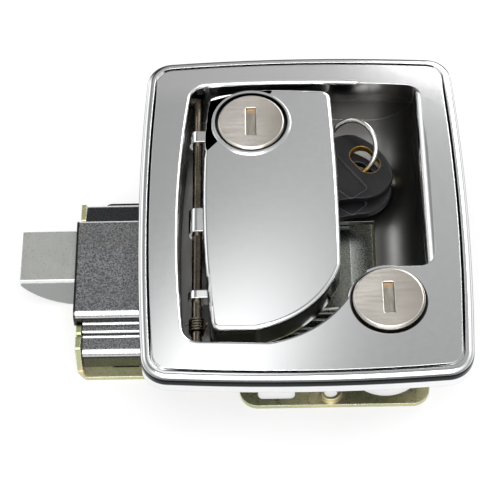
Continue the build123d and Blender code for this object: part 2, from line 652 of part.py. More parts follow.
def flange_blank_face():
    """The flange's outline before its windows are cut."""
    inner_top = BOX_TOP_Z - SHEET_T - 0.2
    inner_y = BOX_BOTTOM_Y + SHEET_T + 0.2
    slit_y = BOX_BOTTOM_Y - 0.2
    slit_z = STEP_Z - SHEET_T - 0.9
    ear_top = STEP_Z + 0.5
    face = polygon(
        (ARM_BOTTOM_Y + 2.2, 0), (SHOULDER_Y - 0.6, 6.5), (SHOULDER_Y + 0.4, ear_top), (-27.9, ear_top),
        (-27.9, slit_z + 0.4), (-27.2, slit_z + 0.4), (-27.2, STEP_Z), (slit_y, STEP_Z),
        (slit_y, slit_z), (inner_y, slit_z), (inner_y, inner_top), (0, inner_top), (0, 8.0),
        (13.9, 8.0), (13.9, STEP_Z), (UPPER_SHOULDER_Y, STEP_Z), (UPPER_SHOULDER_Y, 0),
    )
    ears = corners_near(face, (SHOULDER_Y + 0.4, ear_top), (-27.9, ear_top), (-27.2, STEP_Z),
                        (slit_y, STEP_Z), (13.9, STEP_Z), (UPPER_SHOULDER_Y, STEP_Z))
    return fillet(ears, 1.0)


def make_chassis_screws():
    """Countersunk screws from the back of the plate into the face plate's posts."""
    screws = []
    for x, y in POSTS:
        head = Pos(x, y, 0.1 + (PLATE_T - 0.2) / 2) * Cone(SCREW_HEAD_R, SCREW_R, PLATE_T - 0.2)
        screws.append(head + rod_z(x, y, SCREW_R, PLATE_T - 0.3, PLATE_T + SCREW_L - 0.5))
    return Compound(children=screws)


def make_latch_bolt():
    """Slam bolt: a block with an arched ramp on its back and wings that ride on the plate."""
    half = BOLT_W / 2
    tip_z = BOLT_FRONT_Z - BOLT_TIP_T
    ramp_end = (BOLT_TIP_X + BOLT_RAMP_L, BOLT_BACK_Z)
    bulge = (BOLT_TIP_X + BOLT_RAMP_L * 0.28, BOLT_FRONT_Z - 7.4)
    profile = make_face([
        Line((BOLT_TIP_X, BOLT_FRONT_Z), (BOLT_TIP_X, tip_z)),
        ThreePointArc((BOLT_TIP_X, tip_z), bulge, ramp_end),
        Polyline(ramp_end, (BOLT_BLOCK_END_X + BOLT_LEDGE, BOLT_BACK_Z),
                 (BOLT_BLOCK_END_X + BOLT_LEDGE, PLATE_T + GUIDE_GAP),
                 (BOLT_BLOCK_END_X, PLATE_T + GUIDE_GAP),
                 (BOLT_BLOCK_END_X, BOLT_FRONT_Z), (BOLT_TIP_X, BOLT_FRONT_Z)),
    ])
    bolt = prism_y(profile, -half, half)
    front = [e for e in bolt.edges().filter_by(Axis.X) if e.center().Z > BOLT_FRONT_Z - 0.1]
    bolt = chamfer(front, 0.7)
    wing_x = FLANGE_X + FLANGE_T + GUIDE_GAP
    wing_z = PLATE_T + GUIDE_GAP
    bolt += box(wing_x, BOLT_BLOCK_END_X, BOLT_SPRING_Y - 3.6, -half + 1, wing_z, BOLT_FRONT_Z - 1)
    bolt += box(wing_x, BOLT_BLOCK_END_X, half - 1, half + 4.2, wing_z, STEP_Z - SHEET_T - 1)
    for y in slide_rivet_places():
        bolt -= rod_z(BOLT_BLOCK_END_X + BOLT_LEDGE / 2, y, RIVET_R + 0.05, -1, 3)
    return bolt


def slide_rivet_places():
    return [-4.2, 4.2]


def slide_z():
    return PLATE_T + GUIDE_GAP + 0.02


def lug_x():
    return ARM_X + ARM_T / 2 + LOST_MOTION


def make_bolt_slide():
    """Steel strap on the bolt's ledge, with a window for the paddle's arm and a bent-up lug."""
    z0 = slide_z()
    z1 = z0 + SLIDE_T
    left = BOLT_BLOCK_END_X + 0.1
    right = lug_x() + LUG_T
    strap = box(left, right, -SLIDE_W / 2, SLIDE_W / 2, z0, z1)
    strap = fillet(strap.edges().filter_by(Axis.Z).group_by(Axis.X)[-1], 2.0)
    strap -= box(ARM_X - ARM_T / 2 - 0.9, lug_x(), -ARM_W / 2 - 0.7, ARM_W / 2 + 0.7, 0, z1 + 1)
    lug = box(lug_x(), right, -ARM_W / 2 + 0.1, ARM_W / 2 - 0.1, z0, LUG_TOP_Z)
    strap += fillet(lug.edges().filter_by(Axis.X).group_by(Axis.Z)[-1], 1.0)
    for y in slide_rivet_places():
        strap -= rod_z(BOLT_BLOCK_END_X + BOLT_LEDGE / 2, y, RIVET_R + 0.05, 0, z1 + 1)
    return strap


def make_slide_rivets():
    x = BOLT_BLOCK_END_X + BOLT_LEDGE / 2
    seat = slide_z() + SLIDE_T
    return Compound(children=[make_rivet(x, y, BOLT_BACK_Z + 0.1, seat) for y in slide_rivet_places()])


def coil(radius, wire, turns, length):
    """Open coil along +Z from the origin, with its ends cut square."""
    path = Helix(pitch=length / turns, height=length, radius=radius)
    section = Plane(origin=path @ 0, z_dir=path % 0) * Circle(wire / 2)
    return sweep(section, path=path)


def make_bolt_spring():
    """Compression spring between the bolt's wing and the tab on the back plate."""
    clear = BOLT_SPRING_WIRE / 2 + 0.12
    x0 = BOLT_BLOCK_END_X + clear
    x1 = SPRING_TAB_X - clear
    spring = coil(BOLT_SPRING_R - BOLT_SPRING_WIRE / 2, BOLT_SPRING_WIRE, BOLT_SPRING_TURNS, x1 - x0)
    return Pos(x0, BOLT_SPRING_Y, BOLT_SPRING_Z) * Rot(0, 90, 0) * spring


def wire_between(start, end, radius):
    """Straight round wire between two points."""
    along = Vector(*end) - Vector(*start)
    return Plane(origin=start, z_dir=along).location * Pos(0, 0, along.length / 2) * Cylinder(radius, along.length)


def make_paddle_spring():
    """Torsion spring round the hinge pin; one leg presses on the pocket wall, one on the paddle."""
    radius = PIN_R + 0.15 + PADDLE_SPRING_WIRE / 2
    turns = PADDLE_SPRING_TURNS + 0.25
    length = PADDLE_SPRING_WIRE * 1.25 * turns
    wire_r = PADDLE_SPRING_WIRE / 2
    spring = Pos(PIN_X, PADDLE_SPRING_Y, PIN_Z) * Rot(-90, 0, 0) * coil(
        radius, PADDLE_SPRING_WIRE, turns, length)
    far_y = PADDLE_SPRING_Y + length
    wall_leg = wire_between((PIN_X + 0.3, far_y, PIN_Z - radius), (PIN_X - 3.6, far_y, PIN_Z - radius), wire_r)
    paddle_leg = wire_between((PIN_X + radius, PADDLE_SPRING_Y, PIN_Z - 0.3),
                              (PIN_X + radius + 1.2, PADDLE_SPRING_Y, PIN_Z + 5.5), wire_r)
    return spring + wall_leg + paddle_leg


def deadbolt_head_y():
    """Upper end of the slotted head that the crank's pin works in."""
    return DEADBOLT_LOCK_Y + CRANK_R + CRANK_PIN_R + 2.6


def make_deadbolt():
    """Square-ended deadbolt with a flat bar that runs back to the lock's crank."""
    z0 = PLATE_T + GUIDE_GAP
    tip = box(FLANGE_X, FLANGE_X + DEADBOLT_TIP_L, DEADBOLT_Y - DEADBOLT_W / 2, DEADBOLT_Y + DEADBOLT_W / 2,
              z0, z0 + DEADBOLT_T)
    tip = chamfer(tip.edges().group_by(Axis.X)[0], 0.5)
    half = DEADBOLT_BAR_W / 2
    angle = math.radians(CRANK_START)
    slot_x = DEADBOLT_LOCK_X + CRANK_R * math.cos(angle)
    slot_y0 = DEADBOLT_LOCK_Y + CRANK_R * math.sin(angle)
    slot_y1 = DEADBOLT_LOCK_Y + CRANK_R
    slot_half = CRANK_PIN_R + 0.4
    z1 = z0 + DEADBOLT_BAR_T
    bar = box(FLANGE_X + DEADBOLT_TIP_L - 3, slot_x + slot_half + 2.4, DEADBOLT_Y - half, DEADBOLT_Y + half,
              z0, z1)
    head = box(slot_x - slot_half - 2.4, slot_x + slot_half + 2.4, DEADBOLT_Y - half,
               deadbolt_head_y(), z0, z1)
    head = fillet(head.edges().filter_by(Axis.Z).group_by(Axis.Y)[-1], 2.0)
    slot_length = slot_y1 - slot_y0 + 2 * slot_half + 0.6
    slot = Pos(slot_x, (slot_y0 + slot_y1) / 2) * Rot(0, 0, 90) * SlotOverall(slot_length, 2 * slot_half)
    return tip + bar + head - prism_z(slot, z0 - 1, z1 + 1)


def make_bridge():
    """Strap riveted over the deadbolt bar to hold it down on the plate."""
    z0 = PLATE_T
    clear_z = PLATE_T + GUIDE_GAP + DEADBOLT_BAR_T + GUIDE_GAP
    y0 = DEADBOLT_Y - DEADBOLT_BAR_W / 2 - GUIDE_GAP
    y1 = DEADBOLT_Y + DEADBOLT_BAR_W / 2 + GUIDE_GAP
    x0 = BRIDGE_X - BRIDGE_L / 2
    x1 = BRIDGE_X + BRIDGE_L / 2
    arch = box(x0, x1, y0 - BRIDGE_T, y1 + BRIDGE_T, z0, clear_z + BRIDGE_T)
    arch -= box(x0 - 1, x1 + 1, y0, y1, z0 - 1, clear_z)
    foot = box(x0, x1, y1, y1 + BRIDGE_T + 2 * RIVET_HEAD_R + 0.8, z0, z0 + BRIDGE_T)
    bridge = arch + fillet(foot.edges().filter_by(Axis.Z).group_by(Axis.Y)[-1], 1.5)
    for x, y in bridge_rivet_places():
        bridge -= rod_z(x, y, RIVET_R + 0.05, 0, 8)
    return bridge


def make_bridge_rivets():
    return Compound(children=[make_rivet(x, y, 0.05, PLATE_T + BRIDGE_T) for x, y in bridge_rivet_places()])


def ring_place(along, across):
    """A point in the plane of the keys, measured from the ring's middle."""
    a = math.radians(RING_ANGLE)
    return (RING_X + along * math.cos(a) + across * math.sin(a),
            RING_Y + along * math.sin(a) - across * math.cos(a))


def key_head_outline():
    """Head with its hole's middle at the origin and the blade running to -X."""
    end = KEY_HOLE_W / 2 + KEY_RIM
    half = KEY_HEAD_W / 2
    neck = end - KEY_HEAD_L
    face = make_face([
        ThreePointArc((end - 2.5, -half + 3), (end, 0), (end - 2.5, half - 3)),
        ThreePointArc((end - 2.5, half - 3), (end - 9, half), (neck + 7, half - 3.0)),
        Line((neck + 7, half - 3.0), (neck, KEY_NECK_W / 2)),
        Line((neck, KEY_NECK_W / 2), (neck, -KEY_NECK_W / 2)),
        Line((neck, -KEY_NECK_W / 2), (neck + 7, -half + 3.0)),
        ThreePointArc((neck + 7, -half + 3.0), (end - 9, -half), (end - 2.5, -half + 3)),
    ])
    return fillet(face.vertices(), 1.6)


def key_place(along, across, z, angle):
    x, y = ring_place(along, across)
    return Pos(x, y, z) * Rot(0, 0, angle)


def make_key_head(place):
    """Moulded head with an oblong ring hole and a shallow recessed panel on each side."""
    head = prism_z(key_head_outline(), -KEY_HEAD_T / 2, KEY_HEAD_T / 2)
    flat = head.faces().filter_by(Axis.Z)
    head = fillet(flat.sort_by(Axis.Z)[-1].edges() + flat.sort_by(Axis.Z)[0].edges(), 0.6)
    head -= prism_z(Rot(0, 0, 90) * SlotOverall(KEY_HOLE_H, KEY_HOLE_W), -5, 5)
    panel = make_face([
        Polyline((-6.0, -9.0), (-6.0, 7.5), (-12.5, 9.0), (-14.5, 0), (-12.5, -9.0), (-6.0, -9.0)),
    ])
    panel = fillet(panel.vertices(), 1.2)
    for z0 in (KEY_HEAD_T / 2 - KEY_PANEL_T, -KEY_HEAD_T / 2 - 1):
        head -= prism_z(panel, z0, z0 + 1 + KEY_PANEL_T)
    neck = KEY_HOLE_W / 2 + KEY_RIM - KEY_HEAD_L
    head -= box(neck - 1, neck + KEY_ROOT_L + 0.1, -KEY_BLADE_W / 2 - 0.05, KEY_BLADE_W / 2 + 0.05,
                -KEY_BLADE_T / 2 - 0.03, KEY_BLADE_T / 2 + 0.03)
    return place * head


def make_key_blade(place):
    """Double-cut blade with a pointed end and a groove along each side."""
    neck = KEY_HOLE_W / 2 + KEY_RIM - KEY_HEAD_L
    half = KEY_BLADE_W / 2
    tip = neck - KEY_BLADE_L
    face = polygon((neck + KEY_ROOT_L, -half), (neck + KEY_ROOT_L, half), (tip + 2.8, half), (tip, 1.0), (tip, -1.0),
                   (tip + 2.8, -half))
    blade = prism_z(face, -KEY_BLADE_T / 2, KEY_BLADE_T / 2)
    for number, depth in enumerate((1.1, 0.6, 1.4, 0.9, 1.3)):
        x = neck - 4.5 - 3.6 * number
        for side in (-1, 1):
            notch = polygon((x - 1.6, side * (half + 1)), (x + 1.6, side * (half + 1)),
                            (x + 0.5, side * (half - depth)), (x - 0.5, side * (half - depth)))
            blade -= prism_z(notch, -3, 3)
    for z0 in (KEY_BLADE_T / 2 - 0.5, -KEY_BLADE_T / 2 - 1):
        blade -= box(tip + 3, neck - 0.5, -0.7, 0.7, z0, z0 + 1.5)
    return place * blade


def make_key_ring():
    """Ring that leans in the pocket and passes through both keys."""
    a = math.radians(RING_ANGLE)
    t = math.radians(RING_TILT)
    normal = Vector(-math.cos(a) * math.sin(t), -math.sin(a) * math.sin(t), math.cos(t))
    centre_z = FLOOR_TOP + 0.15 + RING_WIRE_R + RING_R * math.sin(t)
    plane = Plane(origin=(RING_X, RING_Y, centre_z), z_dir=normal)
    return plane.location * Torus(RING_R, RING_WIRE_R)


KEY_LOW_Z = FLOOR_TOP + 2.8 + KEY_HEAD_T / 2
KEY_HIGH_Z = KEY_LOW_Z + KEY_HEAD_T + 0.2

high_key = key_place(-0.4, 6.4, KEY_HIGH_Z, UPPER_KEY_ANGLE)
low_key = key_place(-3.8, 8.7, KEY_LOW_Z, LOWER_KEY_ANGLE)
paddle_lock = (PADDLE_LOCK_X, PADDLE_LOCK_Y)
deadbolt_lock = (DEADBOLT_LOCK_X, DEADBOLT_LOCK_Y)
paddle_clip_z = PADDLE_BACK_Z + 0.8

nodes = {
    "bezel": make_bezel(),
    "door_gasket": make_gasket(),
    "hinge_pin": make_hinge_pin(),
    "paddle": make_paddle(),
    "paddle_arm": make_paddle_arm(),
    "paddle_arm_screws": make_arm_screws(),
    "paddle_spring": make_paddle_spring(),
    "paddle_lock_body": make_lock_body(*paddle_lock, PADDLE_LOCK_END_Z)
    - clip_groove(*paddle_lock, paddle_clip_z),
    "paddle_lock_clip": make_lock_clip(*paddle_lock, paddle_clip_z),
    "paddle_lock_plug": make_lock_plug(*paddle_lock, PADDLE_CAP_PROUD, PADDLE_LOCK_END_Z),
    "paddle_lock_shutter": make_shutter(*paddle_lock, PADDLE_CAP_PROUD),
    "paddle_lock_cam": make_paddle_cam(),
    "paddle_cam_screw": make_cam_screw(*paddle_lock, PADDLE_LOCK_END_Z),
    "deadbolt_lock_body": make_lock_body(*deadbolt_lock, DEADBOLT_LOCK_END_Z)
    - clip_groove(*deadbolt_lock, BOSS_END_Z),
    "deadbolt_lock_clip": make_lock_clip(*deadbolt_lock, BOSS_END_Z),
    "deadbolt_lock_plug": make_lock_plug(*deadbolt_lock, DEADBOLT_CAP_PROUD, DEADBOLT_LOCK_END_Z),
    "deadbolt_lock_shutter": make_shutter(*deadbolt_lock, DEADBOLT_CAP_PROUD),
    "deadbolt_lock_cam": make_deadbolt_cam(),
    "deadbolt_cam_screw": make_cam_screw(*deadbolt_lock, DEADBOLT_LOCK_END_Z),
    "rear_plate": make_rear_plate(),
    "chassis_screws": make_chassis_screws(),
    "bolt_housing": make_housing(),
    "housing_rivets": make_housing_rivets(),
    "latch_bolt": make_latch_bolt(),
    "bolt_slide": make_bolt_slide(),
    "slide_rivets": make_slide_rivets(),
    "bolt_spring": make_bolt_spring(),
    "deadbolt": make_deadbolt(),
    "deadbolt_bridge": make_bridge(),
    "bridge_rivet": make_bridge_rivets(),
    "upper_key_head": make_key_head(high_key),
    "upper_key_blade": make_key_blade(high_key),
    "lower_key_head": make_key_head(low_key),
    "lower_key_blade": make_key_blade(low_key),
    "key_ring": make_key_ring(),
}

os.makedirs("parts", exist_ok=True)
for name, shape in nodes.items():
    export_step(shape, "parts/" + name + ".step")
    print(name, round(shape.volume, 1))
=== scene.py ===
import math

import bpy
from mathutils import Matrix, Vector

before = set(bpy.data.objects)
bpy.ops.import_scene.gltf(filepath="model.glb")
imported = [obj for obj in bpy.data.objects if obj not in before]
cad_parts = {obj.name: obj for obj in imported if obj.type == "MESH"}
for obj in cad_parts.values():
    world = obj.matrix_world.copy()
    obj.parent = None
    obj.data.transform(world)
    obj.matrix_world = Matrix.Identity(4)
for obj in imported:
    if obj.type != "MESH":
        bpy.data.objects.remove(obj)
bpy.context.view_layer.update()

# All sizes and places are metres in the part's own frame. The face plate's flat face
# lies at FACE_Z.
MM = 0.001
FACE_Z = 35.5 * MM
FACE_HALF_W = 49.0 * MM
FACE_HALF_H = 58.5 * MM

# The camera: where its middle ray meets the face plate's plane, how far off it stands,
# and how it is tilted, turned and rolled, in degrees.
AIM = Vector((-15.88 * MM, -14.16 * MM, FACE_Z))
DISTANCE = 565.3 * MM
ELEVATION = 56.14
YAW = -0.93
ROLL = 1.77
LENS_MM = 139.0
SENSOR_MM = 36.0
CLIP_START = 10.0 * MM

# The floor lies a little under the back plate. The camera and reflections see this share
# of it as plain white, and the rest as lit paper with its shadow.
FLOOR_Z = -0.2 * MM
FLOOR_SIZE = 6.0
FLOOR_WHITE = 0.65

# The lamps: name, place, width and height, and power in watts.
LAMPS = [
    ("back_light", (0.55, 1.00, 0.80), (0.80, 0.80), 7.0),
    ("top_light", (-0.10, -0.30, 1.20), (0.90, 0.90), 5.0),
    ("front_light", (0.0, -0.85, 0.85), (1.00, 0.35), 4.0),
]

# The surround's own light: an even base, and soft patches with their strength, the
# direction of their centre, their widths along three axes and their turn about Z in
# radians. A negative strength is a black card.
SKY_BASE = 0.08
SKY_PATCHES = [
    (0.46, (0.20, 0.74, 0.64), (0.50, 0.50, 0.70), 0.0),
    (1.35, (-0.0295, 0.500, 0.865), (0.035, 0.060, 0.50), -0.728),
    (-0.40, (-0.24, 0.80, 0.56), (0.20, 0.16, 0.30), 0.0),
    (1.20, (-0.66, 0.52, 0.54), (0.16, 0.40, 0.40), 0.0),
    (1.10, (0.60, 0.52, 0.60), (0.20, 0.40, 0.40), 0.0),
    (1.30, (0.0, -0.60, 0.80), (0.90, 0.40, 0.50), 0.0),
    (1.00, (0.0, -0.22, 0.97), (0.90, 0.28, 0.60), 0.0),
    (0.45, (-0.90, 0.40, 0.30), (0.50, 0.80, 0.80), 0.0),
    (0.45, (0.90, 0.40, 0.30), (0.50, 0.80, 0.80), 0.0),
]

# Where the two locks stand, and the radii over which the painted shade in the well round a cap fades
# out.
PADDLE_LOCK = (-15.1 * MM, 32.8 * MM)
DEADBOLT_LOCK = (23.9 * MM, -32.4 * MM)
LOCK_WELL_SHADE = (11.15 * MM, 11.40 * MM)

# The face plate's flat field inside its rim, as half sizes, and the fade at its border.
FIELD_HALF_W = 0.90 * FACE_HALF_W
FIELD_HALF_H = 0.915 * FACE_HALF_H
FIELD_FADE = 0.5 * MM

# Where the face plate's tone changes: the heights over which painted shade darkens the pocket, and
# the places along Y over which a painted highlight makes the upper band pale.
POCKET_SHADE_DEPTH = (26.0 * MM, 33.5 * MM)
UPPER_HIGHLIGHT_BAND = (40.0 * MM, 48.0 * MM)

# Heights of the rim's painted shade and dark reflection: the groove's floor and the skirt's upper
# half, each with a fade on both sides, and where the groove's wall and the edge roll start.
GROOVE_FLOOR = (34.4 * MM, 34.6 * MM, 34.9 * MM, 35.0 * MM)
SKIRT_BAND = (31.9 * MM, 32.3 * MM, 34.4 * MM, 34.7 * MM)
GROOVE_WALL = (34.68 * MM, 34.76 * MM)
EDGE_ROLL = (33.6 * MM, 33.8 * MM)

# How level the rim's faces are where that painted shade starts or ends, as the share of the
# normal along Z, and how far the roll's far side faces away along Y.
GROOVE_FLOOR_LEVEL = (0.90, 0.97)
GROOVE_WALL_LEVEL = (0.3, 0.4)
ROLL_LEVEL = (0.93, 0.98)
ROLL_AWAY = (0.12, 0.30)

# The bolt housing's painted shade: where it goes under the face plate, where its far shoulder starts,
# where its box ends on the left, and how high that end's foot is.
UNDER_FACE_SHADE = (-49.0 * MM, -45.0 * MM)
FAR_SHOULDER_SHADE = (12.0 * MM, 12.6 * MM)
BOX_END = (-68.9 * MM, -68.6 * MM)
BOX_FOOT = (9.2 * MM, 9.6 * MM)

# How level a face of the sheet is, from 0 for upright to 1 for flat: it is a wall below
# the first pair, a bend between the pairs and a flat above the second pair.
WALL_LEVEL = (0.28, 0.40)
FLAT_LEVEL = (0.93, 0.985)

# The upper key's oblong ring hole: its middle, the heights over which its brass lining
# starts, its turn in degrees, its half sizes, how far the lining reaches into the
# plastic, and the fade at its border.
KEY_HOLE = (19.85 * MM, 25.91 * MM)
KEY_HOLE_Z = (22.3 * MM, 22.4 * MM)
KEY_HOLE_TURN = 36.0
KEY_HOLE_R = 3.5 * MM
KEY_HOLE_STRAIGHT = 2.0 * MM
KEY_HOLE_LINING = 0.05 * MM
KEY_HOLE_FADE = 0.05 * MM

# Colours that more than one surface has.
WHITE = (1.0, 1.0, 1.0)
NEAR_BLACK = (0.012, 0.012, 0.012)

# A noise's values lie mostly between these two.
NOISE_MIDDLE = (0.3, 0.7)

# How wide the paler band along an edge is, for wear and a painted highlight, and how soon it shows as
# a face bends.
EDGE_WEAR_AND_SHEEN = 0.5 * MM
EDGE_GAIN = 0.12

# The mix node's sockets that carry colours.
MIX_FACTOR, MIX_FIRST, MIX_SECOND, MIX_RESULT = 0, 6, 7, 2

# Which finish each CAD node wears.
FINISHES = {
    "chrome_paddle": ["paddle"],
    "chrome_bezel": ["bezel"],
    "satin_nickel": ["paddle_lock_plug", "deadbolt_lock_plug"],
    "shutter": ["paddle_lock_shutter", "deadbolt_lock_shutter"],
    "zinc_sheet": ["bolt_housing"],
    "yellow_zinc": ["rear_plate"],
    "bolt_steel": ["latch_bolt"],
    "zinc_part": ["bolt_slide", "paddle_arm", "paddle_arm_screws", "deadbolt", "deadbolt_bridge",
                  "deadbolt_lock_cam", "paddle_lock_cam", "deadbolt_cam_screw", "paddle_cam_screw",
                  "deadbolt_lock_clip", "paddle_lock_clip"],
    "shaded_lock_shell": ["deadbolt_lock_body", "paddle_lock_body"],
    "rivet": ["housing_rivets", "slide_rivets", "bridge_rivet", "chassis_screws"],
    "shaded_spring_wire": ["bolt_spring", "paddle_spring", "hinge_pin"],
    "black_plastic": ["upper_key_head", "lower_key_head"],
    "key_brass": ["upper_key_blade", "lower_key_blade"],
    "ring_nickel": ["key_ring"],
    "foam": ["door_gasket"],
}


class Nodes:
    """Adds shader nodes to one tree and wires them together."""

    def __init__(self, tree):
        self.tree = tree

    def add(self, kind, inputs=None, **settings):
        """One node; an input is a value, a colour or another node's output."""
        node = self.tree.nodes.new(kind)
        for name, value in settings.items():
            setattr(node, name, value)
        for name, value in (inputs or {}).items():
            socket = node.inputs[name]
            if isinstance(value, bpy.types.NodeSocket):
                self.tree.links.new(value, socket)
            else:
                socket.default_value = (*value, 1.0) if socket.type == "RGBA" else value
        return node

    def calculate(self, operation, *values):
        """One step of arithmetic on one or two numbers."""
        return self.add("ShaderNodeMath", dict(enumerate(values)), operation=operation).outputs[0]

    def product(self, first, second):
        return self.calculate("MULTIPLY", first, second)

    def largest(self, first, second):
        return self.calculate("MAXIMUM", first, second)

    def change_vector(self, operation, *vectors):
        """One step on one or two vectors that gives a vector."""
        node = self.add("ShaderNodeVectorMath", dict(enumerate(vectors)), operation=operation)
        return node.outputs["Vector"]

    def measure_vector(self, operation, *vectors):
        """One step on one or two vectors that gives a number."""
        node = self.add("ShaderNodeVectorMath", dict(enumerate(vectors)), operation=operation)
        return node.outputs["Value"]

    def component(self, vector, axis):
        return self.add("ShaderNodeSeparateXYZ", {"Vector": vector}).outputs[axis]

    def place(self, stretch=(1, 1, 1)):
        """Place on the piece in the part's frame, stretched along each axis."""
        coordinates = self.add("ShaderNodeTexCoord").outputs["Object"]
        return self.add("ShaderNodeMapping", {"Vector": coordinates, "Scale": stretch}).outputs[0]

    def along(self, axis):
        """Place along one axis, in metres."""
        return self.component(self.place(), axis)

    def within_box(self, axis):
        """Share of the way across the piece's own box along one axis."""
        return self.component(self.add("ShaderNodeTexCoord").outputs["Generated"], axis)

    def facing(self, axis):
        """Share of the surface's own normal along one axis."""
        return self.component(self.add("ShaderNodeNewGeometry").outputs["True Normal"], axis)

    def noise(self, scale, detail=4.0, roughness=0.55, stretch=(1, 1, 1)):
        """Cloudy pattern with about this many spots to the metre."""
        node = self.add("ShaderNodeTexNoise", {
            "Vector": self.place(stretch), "Scale": scale, "Detail": detail, "Roughness": roughness})
        return node.outputs["Fac"]

    def spread(self, value, low, high, start=NOISE_MIDDLE[0], end=NOISE_MIDDLE[1]):
        """Goes from low to high while the value goes from start to end."""
        node = self.add("ShaderNodeMapRange", {
            "Value": value, "From Min": start, "From Max": end, "To Min": low, "To Max": high})
        return node.outputs["Result"]

    def rise(self, value, start=NOISE_MIDDLE[0], end=NOISE_MIDDLE[1], top=1.0):
        """0 up to start, and top from end on."""
        return self.spread(value, 0.0, top, start, end)

    def fall(self, value, start, end, top=1.0):
        """Top up to start, and 0 from end on."""
        return self.spread(value, top, 0.0, start, end)

    def window(self, value, start, full_start, full_end, end):
        """1 between full_start and full_end, fading to 0 at start and end."""
        return self.product(self.rise(value, start, full_start), self.fall(value, full_end, end))

    def blend(self, factor, first, second):
        """The first colour, turning to the second as the factor goes from 0 to 1."""
        inputs = {MIX_FACTOR: factor, MIX_FIRST: first, MIX_SECOND: second}
        return self.add("ShaderNodeMix", inputs, data_type="RGBA").outputs[MIX_RESULT]

    def from_axis(self, centre):
        """Distance from an upright line through a point, in metres."""
        offset = self.change_vector("SUBTRACT", self.place(), (*centre, 0.0))
        return self.measure_vector("LENGTH", self.change_vector("MULTIPLY", offset, (1.0, 1.0, 0.0)))

    def in_slot(self, centre, turn, straight, radius):
        """1 inside an upright oblong prism whose long side lies along its own Y axis."""
        turned = {"Vector": self.place(), "Location": (*centre, 0.0),
                  "Rotation": (0.0, 0.0, math.radians(turn))}
        local = self.add("ShaderNodeMapping", turned, vector_type="TEXTURE").outputs[0]
        length = self.calculate("ABSOLUTE", self.component(local, "Y"))
        past = self.largest(self.calculate("SUBTRACT", length, straight), 0.0)
        corner = self.add("ShaderNodeCombineXYZ", {"X": self.component(local, "X"), "Y": past})
        reach = self.measure_vector("LENGTH", corner.outputs[0])
        return self.fall(reach, radius, radius + KEY_HOLE_FADE)

    def outside_of(self, half_x, half_y):
        """1 outside a rectangle about the Z axis and 0 inside it."""
        shares = []
        for axis, half in (("X", half_x), ("Y", half_y)):
            size = self.calculate("ABSOLUTE", self.along(axis))
            shares.append(self.rise(size, half, half + FIELD_FADE))
        return self.largest(*shares)

    def rounded(self, radius):
        """Normal that rounds every edge over the radius."""
        return self.add("ShaderNodeBevel", {"Radius": radius}, samples=6).outputs[0]

    def worn_and_lit_edges(self, tone, colour, width=EDGE_WEAR_AND_SHEEN):
        """The tone, with another colour close to every edge, for wear and a painted highlight."""
        flat = self.add("ShaderNodeNewGeometry").outputs["Normal"]
        likeness = self.measure_vector("DOT_PRODUCT", self.rounded(width), flat)
        return self.blend(self.fall(likeness, 1.0 - EDGE_GAIN, 1.0), tone, colour)

    def bump(self, height, strength, distance, normal=None):
        """Normal that follows a pattern's height, laid over another normal if there is one."""
        inputs = {"Height": height, "Strength": strength, "Distance": distance}
        if normal is not None:
            inputs["Normal"] = normal
        return self.add("ShaderNodeBump", inputs).outputs[0]


def new_material(name):
    material = bpy.data.materials.new(name)
    material.use_nodes = True
    material.node_tree.nodes.clear()
    return material, Nodes(material.node_tree)


def finish_surface(nodes, colour, metallic, roughness, normal, specular=0.5):
    """Ends a material in one surface shader."""
    shader = nodes.add("ShaderNodeBsdfPrincipled", {
        "Base Color": colour, "Metallic": metallic, "Roughness": roughness,
        "Specular IOR Level": specular, "Normal": normal})
    nodes.add("ShaderNodeOutputMaterial", {"Surface": shader.outputs[0]})


def rim_shade(nodes, height, outside):
    """Where the rim is painted black as shade and dark reflection: its groove, the skirt's upper half
    and the roll's far side.
    """
    upward = nodes.facing("Z")
    floor = nodes.product(nodes.rise(upward, *GROOVE_FLOOR_LEVEL), nodes.window(height, *GROOVE_FLOOR))
    wall_shade = nodes.product(nodes.fall(upward, *GROOVE_WALL_LEVEL), nodes.rise(height, *GROOVE_WALL))
    skirt = nodes.window(height, *SKIRT_BAND)
    roll = nodes.product(nodes.rise(height, *EDGE_ROLL), nodes.fall(upward, *ROLL_LEVEL))
    far_side = nodes.product(nodes.rise(nodes.facing("Y"), *ROLL_AWAY), roll)
    shade = nodes.largest(nodes.largest(floor, wall_shade), nodes.largest(skirt, far_side))
    return nodes.product(shade, outside)


def shade_bezel(nodes, tone, roughness):
    """The face plate's painted highlight on its pale upper band, painted shade in its darker, duller
    pocket, and painted black lines on its rim.
    """
    height = nodes.along("Z")
    outside = nodes.outside_of(FIELD_HALF_W, FIELD_HALF_H)
    # Painted shade: the pocket darkens with depth inside the flat field.
    deep_shade = nodes.product(nodes.fall(height, *POCKET_SHADE_DEPTH), nodes.fall(outside, 0.0, 1.0))
    # Painted highlight: the upper band turns pale.
    tone = nodes.blend(nodes.rise(nodes.along("Y"), *UPPER_HIGHLIGHT_BAND), tone, (0.96, 0.96, 0.96))
    tone = nodes.blend(nodes.product(deep_shade, 0.84), tone, (0.065, 0.062, 0.054))
    # Painted shade and dark reflection: the rim's black lines.
    tone = nodes.blend(rim_shade(nodes, height, outside), tone, (0.010, 0.011, 0.013))
    return tone, nodes.largest(roughness, nodes.product(deep_shade, 0.30))


